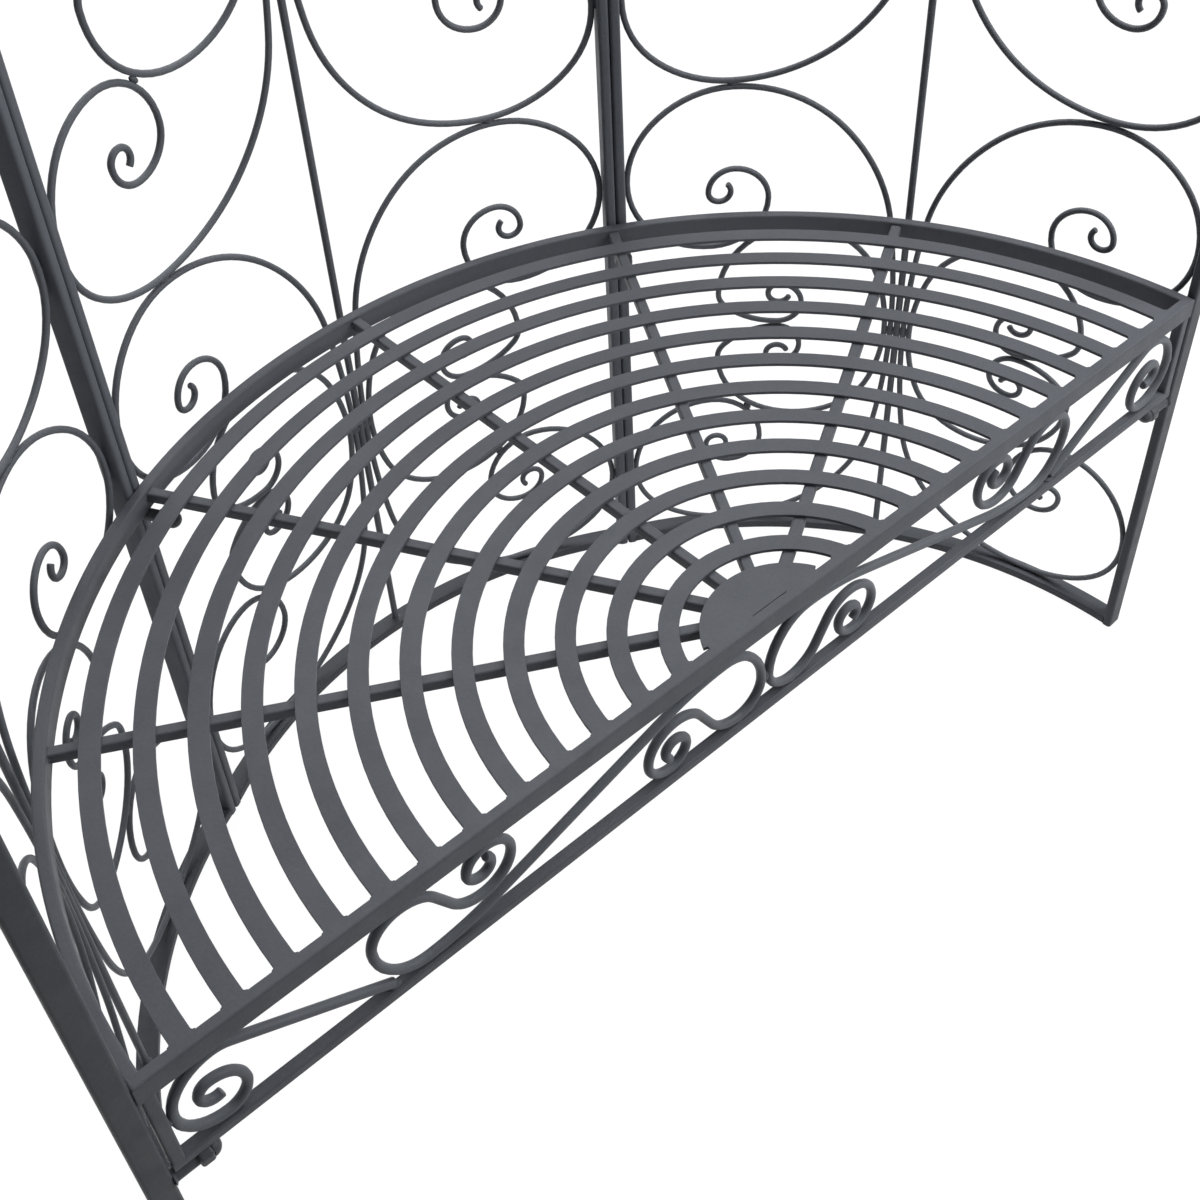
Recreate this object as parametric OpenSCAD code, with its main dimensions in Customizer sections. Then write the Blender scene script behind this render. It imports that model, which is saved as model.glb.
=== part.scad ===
// Half-round metal gazebo with a slatted bench.
// Three curved scroll panels stand on the ground side by side, a half-round bench hangs between
// them on four shouldered bolts, and an arch with two ribs closes the top.
// X runs to the right along the open front, Y runs to the back, Z up. The ground is z = 0.

/* [Overall] */
// Outer radius of the seat ring
ring_r = 560; // [480:1:680]
// Height of the seat above the ground
seat_h = 442; // [390:1:530]
// Clear height of one row of scrolls
tier_h = 563; // [480:1:680]
// Number of scroll rows in a panel
tiers = 3; // [2:1:3]
// Distance from the centre of the circle back to the middle of the front line
centre_off = 24; // [20:1:30]
// How far the middle of a wall bows out beyond the circle of the posts
wall_bow = 8; // [2:1:12]

/* [Frame tubes] */
// Wide side of the posts, rails and ribs
tube_w = 20; // [16:0.5:24]
// Narrow side of the posts, rails and ribs
tube_t = 10; // [8:0.5:12]
// Wall of every tube
tube_wall = 1.5; // [1:0.1:2]
// Small chamfer along the edges of the tubes
edge = 1; // [0.5:0.1:1.5]
// Open seam between the two posts where panels meet
seam = 0.8; // [0.2:0.1:0.9]

/* [Scrolls] */
// Thickness of the round bar
bar_d = 6; // [5:0.5:8]
// Thickness of the straight rod in the middle of a wall
rod_d = 7; // [6:0.5:8]
// Play left between a bar and what it is welded to
fit = 0.2; // [0.1:0.05:0.4]

/* [Bench] */
// Height of the seat ring and the front tube
ring_h = 20; // [16:1:26]
// Thickness of the seat ring
ring_t = 10; // [6:0.5:12]
// Number of slats
slat_n = 12; // [12:1:12]
// Width of a slat
slat_w = 16; // [13:0.5:19]
// Thickness of the slats and the hub plate
slat_t = 3; // [2:0.5:4]
// Radius of the hub plate
hub_r = 69; // [60:1:84]
// Gap between the hub plate and the innermost slat
hub_gap = 15; // [9:1:18]
// Side of the square bars under the slats
spoke_w = 10; // [8:0.5:12]
// Distance from the middle of the front line to the inner ends of those bars
spoke_in = 26; // [25:1:32]
// Gap between each end of the front tube and the front post
end_gap = 2.5; // [1:0.5:6]

/* [Apron] */
// Clear height between the apron rail and the front tube
apron_h = 84; // [70:1:101]
// Side of the apron rail and its end uprights
apron_w = 10; // [8:0.5:12]
// Thickness of the round bar of its scrolls
apron_bar_d = 8; // [6:0.5:9]
// Half length of a middle scroll as a share of half the apron
middle_share = 0.347; // [0.34:0.001:0.35]
// Length of an end scroll as a share of half the apron
end_share = 0.315; // [0.3:0.001:0.32]

/* [Bench bolts] */
// Shank of the bolts
bolt_d = 8; // [6:0.5:9]
// Shoulder that carries the bench
shoulder_d = 11; // [10:0.5:14]
// Gap between the inner face of the seat ring and the domed heads
cap_gap = 9; // [6:0.5:12]
// Key width of the domed heads
cap_af = 16.5; // [15:0.5:20]
// Height of the hexagon under the dome
cap_h = 11; // [8:0.5:13]
// How far a bolt reaches into its post
bolt_in = 12; // [8:1:15]
// Gap around a shank in its hole
bolt_gap = 0.2; // [0.1:0.05:0.4]
// Gap between a post and the shoulder that bears on it
post_gap = 0.3; // [0.3:0.05:0.6]
// Width of the rim between the dome and the flats of a head, both sides together
dome_edge = 1; // [0.5:0.5:2]

/* [Roof] */
// Level length at the inner end of a roof rib
rib_flat = 36; // [24:1:50]
// Distance that the crown plate stays short of the bend in the ribs
crown_lip = 2; // [1:0.5:6]

/* [Hidden] */
$fn = 96;
big = 3000;

// Levels and radii that follow from the sizes above
bar_r = bar_d / 2;
apron_bar_r = apron_bar_d / 2;
post_r = ring_r + tube_w / 2;
post_h = tiers * tier_h + 2 * tube_t;
ring_in = ring_r - ring_t;
slat_gap = (ring_in - hub_r - hub_gap - slat_n * slat_w) / slat_n;
tube_back = tube_t / 2;
slat_z = seat_h - slat_t;
ring_z = seat_h - ring_h;
rail_top = ring_z - apron_h;
rail_z = rail_top - apron_w;
shoulder_l = ring_t + cap_gap - post_gap;

// Angles of the panels: the front posts stand on the front line
pair_a = (tube_t / 2 + seam / 2) / post_r * 180 / PI;
front_post_a = asin(centre_off / post_r);
first_edge = front_post_a - pair_a;
panel_a = (180 - 2 * first_edge) / 3;
post_inner_x = ring_r * cos(front_post_a);

// A wall is rolled to a tighter circle than the ring: its radius, and where its centre lies
post_half_a = panel_a / 2 - pair_a;
wall_chord = post_r * sin(post_half_a);
wall_rise = post_r * (1 - cos(post_half_a)) + wall_bow;
wall_r = (wall_chord ^ 2 + wall_rise ^ 2) / (2 * wall_rise);
wall_off = post_r + wall_bow - wall_r;
wall_half_a = asin(wall_chord / wall_r);
wall_skew = tube_w / 2 * tan(wall_half_a - post_half_a);
half_in_a = wall_half_a - (tube_t / 2 + wall_skew + fit) / wall_r * 180 / PI;
half_in = half_in_a * PI / 180 * wall_r;

// The plan is centred on the box of the finished gazebo
front_y = -max(cap_af / 2 / cos(30), tube_t / 2 + tube_w / 2 * sin(front_post_a));
back_y = post_r + wall_bow + tube_w / 2 - centre_off;
mid_y = (front_y + back_y) / 2;

// Roof: the arch stands on the front posts, the ribs on the two pairs behind
arch_r = post_r * cos(front_post_a);
pair_x = post_r * cos(first_edge + panel_a);
pair_y = post_r * sin(first_edge + panel_a) - centre_off;
rib_reach = norm([pair_x, pair_y]);
rib_dir = atan2(pair_y, pair_x);
rib_end = spoke_in;
crown_r = rib_end + rib_flat - crown_lip;
rib_r = rib_reach - rib_end - rib_flat;
rib_rise = arch_r - rib_r;

// Bends of the upper half of a large scroll, from its back: radius, turn
large_bends = [
  [850, 9], [183, 36], [150, 45], [109, 45], [84, 45],
  [85, 90], [54, 90], [34, 90], [25, 90], [11, 228]
];
// Bends of the upper half of a small scroll
small_bends = [
  [194, 20], [84, 70], [80, 90], [21, 45], [77, 45],
  [24, 90], [23, 90], [11, 250]
];
// Bends of one half of a middle apron scroll: radius, turn, plus is to the right, 0 is straight
middle_bends = [
  [0, 90], [199, 18], [37, 45], [55, 45], [26, 90],
  [34, 59], [0, 25], [30, -59], [29, -90], [22, -90], [18, -90], [12, -90], [10, -150]
];
middle_slope = 18;
// Bends of an end apron scroll, from the end that rests on the rail
end_bends = [
  [0, 148], [30, -29], [39, -90], [36, -90], [20, -90], [26, -90], [10, -90], [12, -113]
];
end_slope = 151;
// Back of the drawn scrolls, the least height of a drawn coil, and what that becomes
back_s = 8.3;
raw_coil_z = 4.2;
coil_z = bar_r + fit;

// Largest turn between two points, depth left at a chord, and least radius that this is used for
max_turn = 46;
sag = 2.5;
sag_min_r = 6;

// Points along a turn to the right, in the flat pattern
function turn_n(r, a) =
  max(1, ceil(abs(a) / min(max_turn, 2 * acos(1 - sag / max(r, sag_min_r)))));
function turn_pts(p, h, r, a) =
  r == 0 ? [p + a * [cos(h), sin(h)]] :
  let (s = sign(a), n = turn_n(r, a), c = p + s * r * [sin(h), -cos(h)])
  [for (k = [1 : n]) let (t = h - a * k / n) c + s * r * [-sin(t), cos(t)]];
function bend_pts(p, h, bends, i = 0) =
  i == len(bends) ? [] :
  let (
    r = bends[i][0],
    q = turn_pts(p, h, r, bends[i][1]),
    g = r == 0 ? h : h - bends[i][1]
  )
  concat(q, bend_pts(q[len(q) - 1], g, bends, i + 1));
function col(pts, k) = [for (p = pts) p[k]];

// Upper half of a scroll fitted to the panel: the pattern's extent becomes the room there is
large_raw = bend_pts([back_s, 0], 90, large_bends);
small_raw = bend_pts([2 * back_s, 0], 90, small_bends);
room_s = half_in + wall_skew - bar_r - fit;
room_z = tier_h / 2 - bar_r - fit;
raw_s = max(col(large_raw, 0));
raw_z = max(col(large_raw, 1));
function fit_s(s, s0, s1) = s1 + (s - s0) * (room_s - s1) / (raw_s - s0);
function fit_z(z) = coil_z + (z - raw_coil_z) * (room_z - coil_z) / (raw_z - raw_coil_z);
function fitted(raw, s0, s1) = [for (p = raw) [fit_s(p[0], s0, s1), fit_z(p[1])]];
// Centre of a bar that is welded to the back of another one or to the centre rod
side_s = (bar_d + rod_d) / 2 + 1.5 * fit;
large_half = fitted(large_raw, back_s, side_s);
small_s0 = side_s + bar_d + 1.5 * fit;
small_half = fitted(small_raw, 2 * back_s, small_s0);
function whole(half, s0) = concat(
  [for (i = [len(half) - 1 : -1 : 0]) [half[i][0], -half[i][1]]],
  [[s0, 0]],
  half
);

// A bar of square section through points, with the outward direction given for each point
function unit(v) = v / norm(v);
function ring_at(p, n, t, r) =
  let (b = unit(cross(t, n)))
  [for (q = [[1, 1], [-1, 1], [-1, -1], [1, -1]]) p + r * (q[0] * n + q[1] * b)];
function way(pts, i) = unit(pts[min(i + 1, len(pts) - 1)] - pts[max(i - 1, 0)]);

module bar_along(pts, outs, r) {
  n = len(pts);
  rings = [for (i = [0 : n - 1]) each ring_at(pts[i], outs[i], way(pts, i), r)];
  sides = [
    for (i = [0 : n - 2], k = [0 : 3])
      let (a = 4 * i + k, b = 4 * i + (k + 1) % 4)
        each [[a, b, b + 4], [a, b + 4, a + 4]]
  ];
  e = 4 * (n - 1);
  caps = [[0, 2, 1], [0, 3, 2], [e, e + 1, e + 2], [e, e + 2, e + 3]];
  polyhedron(points = rings, faces = concat(sides, caps), convexity = 8);
}

// A scroll bent to the curve of its wall: s runs along the arc from the centre rod
module curved_bar(flat, z0) {
  turn = 180 / PI / wall_r;
  pts = [for (p = flat) [wall_r * cos(p[0] * turn), wall_r * sin(p[0] * turn), z0 + p[1]]];
  outs = [for (p = flat) [cos(p[0] * turn), sin(p[0] * turn), 0]];
  bar_along(pts, outs, bar_r);
}

// A scroll that stays flat, in the plane of the apron
module flat_bar(flat) {
  bar_along([for (p = flat) [p[0], 0, p[1]]], [for (p = flat) [0, -1, 0]], apron_bar_r);
}

// Places a piece drawn about the centre of the circle, or about the middle of the front line
module on_circle() {
  translate([0, -centre_off - mid_y, 0]) children();
}

module on_front() {
  translate([0, -mid_y, 0]) children();
}

// Section of a bar or tube with chamfered edges, centred
module section(w, t) {
  x = w / 2;
  y = t / 2;
  polygon([
    [-x + edge, -y], [x - edge, -y], [x, -y + edge], [x, y - edge],
    [x - edge, y], [-x + edge, y], [-x, y - edge], [-x, -y + edge]
  ]);
}

module tube_section() {
  difference() {
    section(tube_w, tube_t);
    square([tube_w - 2 * tube_wall, tube_t - 2 * tube_wall], center = true);
  }
}

// Everything behind the back face of the front tube
module behind_tube() {
  translate([-big / 2, tube_back + centre_off, -big / 2]) cube([big, big, big]);
}

// Middle angle of a panel: 0 right, 1 back, 2 left
function panel_mid(p) = first_edge + (p + 0.5) * panel_a;

// Places a piece drawn about the centre of a wall's curve, with X towards the wall's middle
module on_wall(p) {
  on_circle() rotate([0, 0, panel_mid(p)]) translate([wall_off, 0, 0]) children();
}

// Post at one edge of a panel, with the blind hole for its bench bolt
module post(p, side) {
  a = panel_mid(p) + side * (panel_a / 2 - pair_a);
  spot = p + (side + 1) / 2;
  color("#4a4d52")
  difference() {
    on_circle() rotate([0, 0, a]) translate([post_r, 0, 0]) linear_extrude(post_h) tube_section();
    at_bolt(spot)
      translate([-tube_w, 0, 0])
      rotate([0, 90, 0]) cylinder(h = tube_w + bolt_in + fit, d = bolt_d + 2 * bolt_gap);
  }
}

// Curved rail between the posts of a panel
module rail(p, z) {
  color("#4a4d52")
  on_wall(p)
  translate([0, 0, z])
  rotate([0, 0, -half_in_a])
  rotate_extrude(angle = 2 * half_in_a)
  translate([wall_r, tube_t / 2]) tube_section();
}

// Straight rod in the middle of a panel, from rail to rail
module centre_rod(p) {
  color("#4a4d52")
  on_wall(p)
  translate([wall_r, 0, tube_t]) cylinder(h = post_h - 2 * tube_t, d = rod_d);
}

// One column of scrolls, a scroll in every row
module column(p, side, flat) {
  color("#4a4d52")
  on_wall(p)
  mirror([0, side < 0 ? 1 : 0, 0])
  for (i = [0 : tiers - 1])
    curved_bar(flat, tube_t + (i + 0.5) * tier_h);
}

module large_column(p, side) {
  column(p, side, whole(large_half, side_s));
}

module small_column(p, side) {
  column(p, side, whole(small_half, small_s0));
}

// Half ring on edge that carries the slats at the back
module seat_ring() {
  color("#54575c")
  on_circle()
  intersection() {
    rotate_extrude() translate([ring_r - ring_t / 2, seat_h - ring_h / 2]) section(ring_t, ring_h);
    behind_tube();
  }
}

// Tube across the open front of the seat
module front_tube() {
  l = 2 * (post_inner_x - end_gap);
  color("#54575c")
  on_front()
  translate([-l / 2, 0, seat_h - ring_h / 2])
  rotate([90, 0, 90])
  linear_extrude(l)
  difference() {
    section(tube_t, ring_h);
    square([tube_t - 2 * tube_wall, ring_h - 2 * tube_wall], center = true);
  }
}

module slat(i) {
  r = ring_in - (i + 1) * slat_gap - i * slat_w;
  color("#5a5d62")
  on_circle()
  intersection() {
    translate([0, 0, slat_z])
    difference() {
      cylinder(h = slat_t, r = r);
      translate([0, 0, -slat_t]) cylinder(h = 3 * slat_t, r = r - slat_w);
    }
    behind_tube();
  }
}

// Plate that closes the middle of the seat, against the front tube
module hub_plate() {
  color("#5a5d62")
  on_circle()
  intersection() {
    translate([0, 0, slat_z]) cylinder(h = slat_t, r = hub_r);
    behind_tube();
  }
}

// Square bar under the slats, from the hub plate out to the ring
module spoke(a) {
  color("#4a4d52")
  intersection() {
    on_front()
    rotate([0, 0, a])
    translate([spoke_in, -spoke_w / 2, slat_z - spoke_w]) cube([ring_r, spoke_w, spoke_w]);
    on_circle() cylinder(h = seat_h, r = ring_in - fit);
  }
}

// Straight rail under the apron scrolls
module apron_rail() {
  l = 2 * (post_inner_x - end_gap);
  color("#54575c")
  on_front()
  translate([-l / 2, 0, rail_z + apron_w / 2])
  rotate([90, 0, 90])
  linear_extrude(l) section(apron_w, apron_w);
}

// Upright at each end, between the apron rail and the front tube
module apron_upright(side) {
  color("#54575c")
  on_front()
  translate([side * (post_inner_x - end_gap - apron_w / 2), 0, rail_top])
  linear_extrude(apron_h) section(apron_w, apron_w);
}

// Apron patterns, fitted to the room between the uprights, the rail and the front tube
apron_mid_z = rail_top + apron_h / 2;
apron_half = post_inner_x - end_gap - apron_w;
room_a = apron_h / 2 - apron_bar_r - fit;
middle_raw = bend_pts([0, 0], middle_slope, middle_bends);
middle_s = max(col(middle_raw, 0));
middle_t = max(col(middle_raw, 1));
middle_b = -min(col(middle_raw, 1));
middle_len = apron_half * middle_share;
function level(z, top, bottom) = z > 0 ? z * room_a / top : z * room_a / bottom;
middle_half = [for (p = middle_raw) [p[0] * middle_len / middle_s, level(p[1], middle_t, middle_b)]];
middle_all = concat(
  [for (i = [len(middle_half) - 1 : -1 : 0]) -middle_half[i]],
  middle_half
);
end_raw = bend_pts([0, 0], end_slope, end_bends);
end_s = -min(col(end_raw, 0));
end_t = max(col(end_raw, 1));
end_len = apron_half * end_share;
end_all = [
  for (p = concat([[0, 0]], end_raw))
    [(end_s + p[0]) * end_len / end_s, -room_a + p[1] * 2 * room_a / end_t]
];

// Long scroll with a loop and a coil at both ends, next to the middle of the apron
module middle_scroll(side) {
  color("#4a4d52")
  on_front()
  mirror([side > 0 ? 1 : 0, 0, 0])
  translate([-middle_len - apron_bar_r - fit / 2, 0, apron_mid_z]) flat_bar(middle_all);
}

// Scroll that coils against the upright and comes down on the rail
module end_scroll(side) {
  color("#4a4d52")
  on_front()
  mirror([side > 0 ? 1 : 0, 0, 0])
  translate([-apron_half + apron_bar_r + fit, 0, apron_mid_z]) flat_bar(end_all);
}

// Places a piece at one of the four bench bolts, from right to left, with X running outward
// from the inner face of the post. The apron rail rests on the heads, the ring on the shoulders
module at_bolt(spot) {
  if (spot == 0 || spot == 3)
    on_front()
    mirror([spot == 3 ? 1 : 0, 0, 0])
    translate([post_inner_x, 0, rail_z - cap_af / 2 - fit]) children();
  else
    on_circle()
    rotate([0, 0, first_edge + spot * panel_a])
    translate([ring_r, 0, ring_z - shoulder_d / 2 - fit]) children();
}

module hexagon(af, h) {
  rotate([0, 0, 30]) cylinder(h = h, d = af / cos(30), $fn = 6);
}

// Shouldered bolts with domed hexagon heads, screwed into the posts from the inside
module bench_bolts() {
  root = -post_gap - shoulder_l;
  color("#3c3f44")
  for (spot = [0 : 3])
    at_bolt(spot)
    rotate([0, 90, 0]) {
      translate([0, 0, root]) cylinder(h = shoulder_l, d = shoulder_d);
      translate([0, 0, root - cap_h / 2])
        cylinder(h = bolt_in + post_gap + shoulder_l + cap_h / 2, d = bolt_d);
      translate([0, 0, root - cap_h]) hexagon(cap_af, cap_h);
      translate([0, 0, root - cap_h]) sphere(d = cap_af - dome_edge);
    }
}

// Half-round arch on the two front posts
module roof_arch() {
  color("#4a4d52")
  on_front()
  translate([0, 0, post_h])
  rotate([90, 0, 0])
  rotate_extrude(angle = 180)
  translate([arch_r, 0]) tube_section();
}

// Rib from a pair of posts up and over to the crown, bent from one tube
module roof_rib(side) {
  color("#4a4d52")
  on_front()
  translate([0, 0, post_h])
  mirror([side < 0 ? 1 : 0, 0, 0])
  rotate([0, 0, rib_dir]) {
    translate([rib_reach, 0, 0]) linear_extrude(rib_rise) tube_section();
    translate([rib_end + rib_flat, 0, rib_rise])
      rotate([90, 0, 0])
      rotate_extrude(angle = 90)
      translate([rib_r, 0]) tube_section();
    translate([rib_end, 0, arch_r])
      rotate([90, 0, 90])
      linear_extrude(rib_flat)
      rotate([0, 0, 90]) tube_section();
  }
}

// Plate under the inner ends of the ribs, against the back of the arch
module crown_plate() {
  color("#5a5d62")
  translate([0, 0, post_h + arch_r - tube_w / 2 - slat_t - fit])
  intersection() {
    on_front() cylinder(h = slat_t, r = crown_r);
    on_circle() behind_tube();
  }
}

post(2, 1);  // left_post_front
post(2, -1);  // left_post_back
rail(2, 0);  // left_bottom_rail
rail(2, post_h - tube_t);  // left_top_rail
centre_rod(2);  // left_centre_rod
large_column(2, 1);  // left_large_scrolls_front
large_column(2, -1);  // left_large_scrolls_back
small_column(2, 1);  // left_small_scrolls_front
small_column(2, -1);  // left_small_scrolls_back
post(1, 1);  // back_post_left
post(1, -1);  // back_post_right
rail(1, 0);  // back_bottom_rail
rail(1, post_h - tube_t);  // back_top_rail
centre_rod(1);  // back_centre_rod
large_column(1, 1);  // back_large_scrolls_left
large_column(1, -1);  // back_large_scrolls_right
small_column(1, 1);  // back_small_scrolls_left
small_column(1, -1);  // back_small_scrolls_right
post(0, 1);  // right_post_back
post(0, -1);  // right_post_front
rail(0, 0);  // right_bottom_rail
rail(0, post_h - tube_t);  // right_top_rail
centre_rod(0);  // right_centre_rod
large_column(0, 1);  // right_large_scrolls_back
large_column(0, -1);  // right_large_scrolls_front
small_column(0, 1);  // right_small_scrolls_back
small_column(0, -1);  // right_small_scrolls_front
seat_ring();
front_tube();
hub_plate();
spoke(30);  // spoke_1
spoke(60);  // spoke_2
spoke(90);  // spoke_3
spoke(120);  // spoke_4
spoke(150);  // spoke_5
slat(0);  // slat_1
slat(1);  // slat_2
slat(2);  // slat_3
slat(3);  // slat_4
slat(4);  // slat_5
slat(5);  // slat_6
slat(6);  // slat_7
slat(7);  // slat_8
slat(8);  // slat_9
slat(9);  // slat_10
slat(10);  // slat_11
slat(11);  // slat_12
apron_rail();
apron_upright(-1);  // apron_upright_left
apron_upright(1);  // apron_upright_right
end_scroll(-1);  // apron_end_scroll_left
end_scroll(1);  // apron_end_scroll_right
middle_scroll(-1);  // apron_middle_scroll_left
middle_scroll(1);  // apron_middle_scroll_right
bench_bolts();
roof_arch();
roof_rib(-1);  // roof_rib_left
roof_rib(1);  // roof_rib_right
crown_plate();
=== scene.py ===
import math

import bmesh
import bpy
from mathutils import Matrix, Quaternion, Vector


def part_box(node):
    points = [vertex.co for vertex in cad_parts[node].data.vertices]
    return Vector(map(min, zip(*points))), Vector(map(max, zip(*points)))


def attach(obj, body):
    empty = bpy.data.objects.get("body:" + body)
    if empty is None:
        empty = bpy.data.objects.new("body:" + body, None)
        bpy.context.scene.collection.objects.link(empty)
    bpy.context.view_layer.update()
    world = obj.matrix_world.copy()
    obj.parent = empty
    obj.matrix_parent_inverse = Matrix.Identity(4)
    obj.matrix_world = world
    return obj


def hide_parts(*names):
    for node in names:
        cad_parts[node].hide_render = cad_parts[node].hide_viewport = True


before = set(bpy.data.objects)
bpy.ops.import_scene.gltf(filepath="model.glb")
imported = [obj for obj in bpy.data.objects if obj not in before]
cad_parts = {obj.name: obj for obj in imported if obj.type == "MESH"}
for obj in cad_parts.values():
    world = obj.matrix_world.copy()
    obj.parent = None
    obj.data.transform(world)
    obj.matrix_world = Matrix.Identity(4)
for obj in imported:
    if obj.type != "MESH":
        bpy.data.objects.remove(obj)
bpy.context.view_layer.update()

# The viewpoint. The camera looks down on the bench from the front left, close by and tilted a
# little, so the walls rise out of the picture. The bench gives the places: its ring is part of a
# circle, and the front tube is the line that the whole gazebo opens along.
ring_low, ring_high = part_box("seat_ring")
tube_low, tube_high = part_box("front_tube")
seat_top = ring_high.z
front_y = (tube_low.y + tube_high.y) / 2
ring_depth = ring_high.y - ring_low.y
centre_y = (ring_high.y + ring_low.y - ring_high.x ** 2 / ring_depth) / 2
ring_r = ring_high.y - centre_y

eye = Vector((-0.6449, front_y - 0.5686, seat_top + 0.9153))
aim = Vector((-0.0527, front_y + 0.1293, seat_top))
camera_roll = math.radians(-3.095)
look = (aim - eye).to_track_quat("-Z", "Y") @ Quaternion((0, 0, 1), camera_roll)
bpy.ops.object.select_all(action="DESELECT")
bpy.ops.object.camera_add(location=eye, rotation=look.to_euler())
camera = bpy.context.object
camera.name = "viewpoint"
camera.data.lens = 49.43
camera.data.sensor_width = 36
camera.data.shift_x = -0.0012
camera.data.shift_y = -0.0337
camera.data.clip_start = 0.02
bpy.context.scene.camera = camera


# The six posts are flat steel tube, welded and then powder coated in a matt anthracite. Two stand
# at the open front and the others in pairs where two walls meet, with an open seam between them.
# The pairs get a much paler grey than the two in front, to match the picture's tones: painted
# light, since all six posts share one coat.
post_tube_w = 0.020
post_tube_t = 0.010
tube_edge = 0.002
frame_edge = 0.003
edge_steps = 3
smooth_below = math.radians(38)


def powder_coat(name, dark, pale, smooth, rough):
    """Anthracite powder coat: cloudy tone, orange peel, and the fine grain of the powder"""
    coat = bpy.data.materials.new(name)
    coat.use_nodes = True
    nodes, wires = coat.node_tree.nodes, coat.node_tree.links
    shader = nodes["Principled BSDF"]
    shader.inputs["Specular IOR Level"].default_value = 0.15
    place = nodes.new("ShaderNodeTexCoord")

    def noise(scale, detail, roughness=0.5):
        field = nodes.new("ShaderNodeTexNoise")
        field.inputs["Scale"].default_value = scale
        field.inputs["Detail"].default_value = detail
        field.inputs["Roughness"].default_value = roughness
        wires.new(place.outputs["Object"], field.inputs["Vector"])
        return field.outputs["Fac"]

    def spread(source, low, high, to_low, to_high):
        level = nodes.new("ShaderNodeMapRange")
        level.inputs["From Min"].default_value = low
        level.inputs["From Max"].default_value = high
        level.inputs["To Min"].default_value = to_low
        level.inputs["To Max"].default_value = to_high
        wires.new(source, level.inputs["Value"])
        return level.outputs["Result"]

    # Tone: a slow drift along each bar, and a faint speckle of thicker powder
    drift = spread(noise(scale=7, detail=3), 0.3, 0.7, 0, 1)
    speckle = spread(noise(scale=420, detail=2, roughness=0.7), 0.35, 0.75, 0, 1)
    tone = nodes.new("ShaderNodeMix")
    tone.data_type = "RGBA"
    tone.inputs["A"].default_value = (*dark, 1)
    tone.inputs["B"].default_value = (*pale, 1)
    blend = nodes.new("ShaderNodeMix")
    blend.inputs["Factor"].default_value = 0.35
    wires.new(drift, blend.inputs["A"])
    wires.new(speckle, blend.inputs["B"])
    wires.new(blend.outputs["Result"], tone.inputs["Factor"])
    wires.new(tone.outputs["Result"], shader.inputs["Base Color"])
    gloss = spread(noise(scale=55, detail=3), 0.3, 0.7, smooth, rough)
    wires.new(gloss, shader.inputs["Roughness"])

    # Relief: orange peel a few millimetres wide, with the powder's grain over it
    peel = nodes.new("ShaderNodeBump")
    peel.inputs["Strength"].default_value = 0.35
    peel.inputs["Distance"].default_value = 0.0004
    wires.new(noise(scale=260, detail=1), peel.inputs["Height"])
    grain = nodes.new("ShaderNodeBump")
    grain.inputs["Strength"].default_value = 0.3
    grain.inputs["Distance"].default_value = 0.0001
    wires.new(noise(scale=1900, detail=2, roughness=0.6), grain.inputs["Height"])
    wires.new(peel.outputs["Normal"], grain.inputs["Normal"])
    wires.new(grain.outputs["Normal"], shader.inputs["Normal"])
    return coat


frame_coat = powder_coat(
    "frame_powder_coat", dark=(0.060, 0.065, 0.074), pale=(0.082, 0.088, 0.100),
    smooth=0.44, rough=0.58)
# Painted light: a paler copy of the frame coat, standing in for light the paired posts lack.
pair_coat_painted_light = powder_coat(
    "pair_powder_coat_painted_light", dark=(0.112, 0.121, 0.138), pale=(0.153, 0.165, 0.187),
    smooth=0.44, rough=0.58)


def put_on(piece, name, coat, slot, *stands_for):
    """Names a finished piece, coats it, and ties it to the frame"""
    bpy.ops.object.select_all(action="DESELECT")
    piece.select_set(True)
    bpy.context.view_layer.objects.active = piece
    bpy.ops.object.shade_smooth_by_angle(angle=smooth_below)
    flats = piece.modifiers.new("flats_stay_flat", "WEIGHTED_NORMAL")
    flats.keep_sharp = True
    bpy.ops.object.modifier_apply(modifier=flats.name)
    piece.name = piece.data.name = name
    piece.data.materials.clear()
    piece.data.materials.append(coat)
    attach(piece, "root")
    if stands_for:
        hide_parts(*stands_for)


def round_edges(piece, wanted, edge, steps):
    """Rounds the edges that are wanted, in so many steps"""
    bpy.ops.object.mode_set(mode="EDIT")
    bpy.ops.mesh.select_mode(type="EDGE")
    bpy.ops.mesh.select_all(action="DESELECT")
    mesh = bmesh.from_edit_mesh(piece.data)
    for e in mesh.edges:
        e.select_set(wanted(e))
    bmesh.update_edit_mesh(piece.data)
    bpy.ops.mesh.bevel(offset=edge, segments=steps, affect="EDGES")
    bpy.ops.object.mode_set(mode="OBJECT")


def straight_tube(middle, size, turn, edge):
    """A block at its size and place, with its four long edges rounded"""
    bpy.ops.object.select_all(action="DESELECT")
    bpy.ops.mesh.primitive_cube_add(size=1, location=middle, rotation=(0, 0, turn), scale=size)
    tube = bpy.context.object
    bpy.ops.object.transform_apply(location=True, rotation=True, scale=True)
    nearly_longest = 0.99 * max(size)
    round_edges(tube, lambda e: e.calc_length() > nearly_longest, edge, edge_steps)
    return tube


post_angles = {}
for post in ("right_post_front", "right_post_back", "back_post_right",
             "back_post_left", "left_post_back", "left_post_front"):
    low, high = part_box(post)
    middle = (low + high) / 2
    angle = math.atan2(middle.y - centre_y, middle.x)
    post_angles[post] = angle
    tube = straight_tube(middle, (post_tube_w, post_tube_t, high.z - low.z), angle, frame_edge)
    coat = frame_coat if post in ("left_post_front", "right_post_front") else pair_coat_painted_light
    put_on(tube, post + "_tube", coat, "frame_coat", post)
post_r = math.hypot(middle.x, middle.y - centre_y)
post_top = high.z


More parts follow.
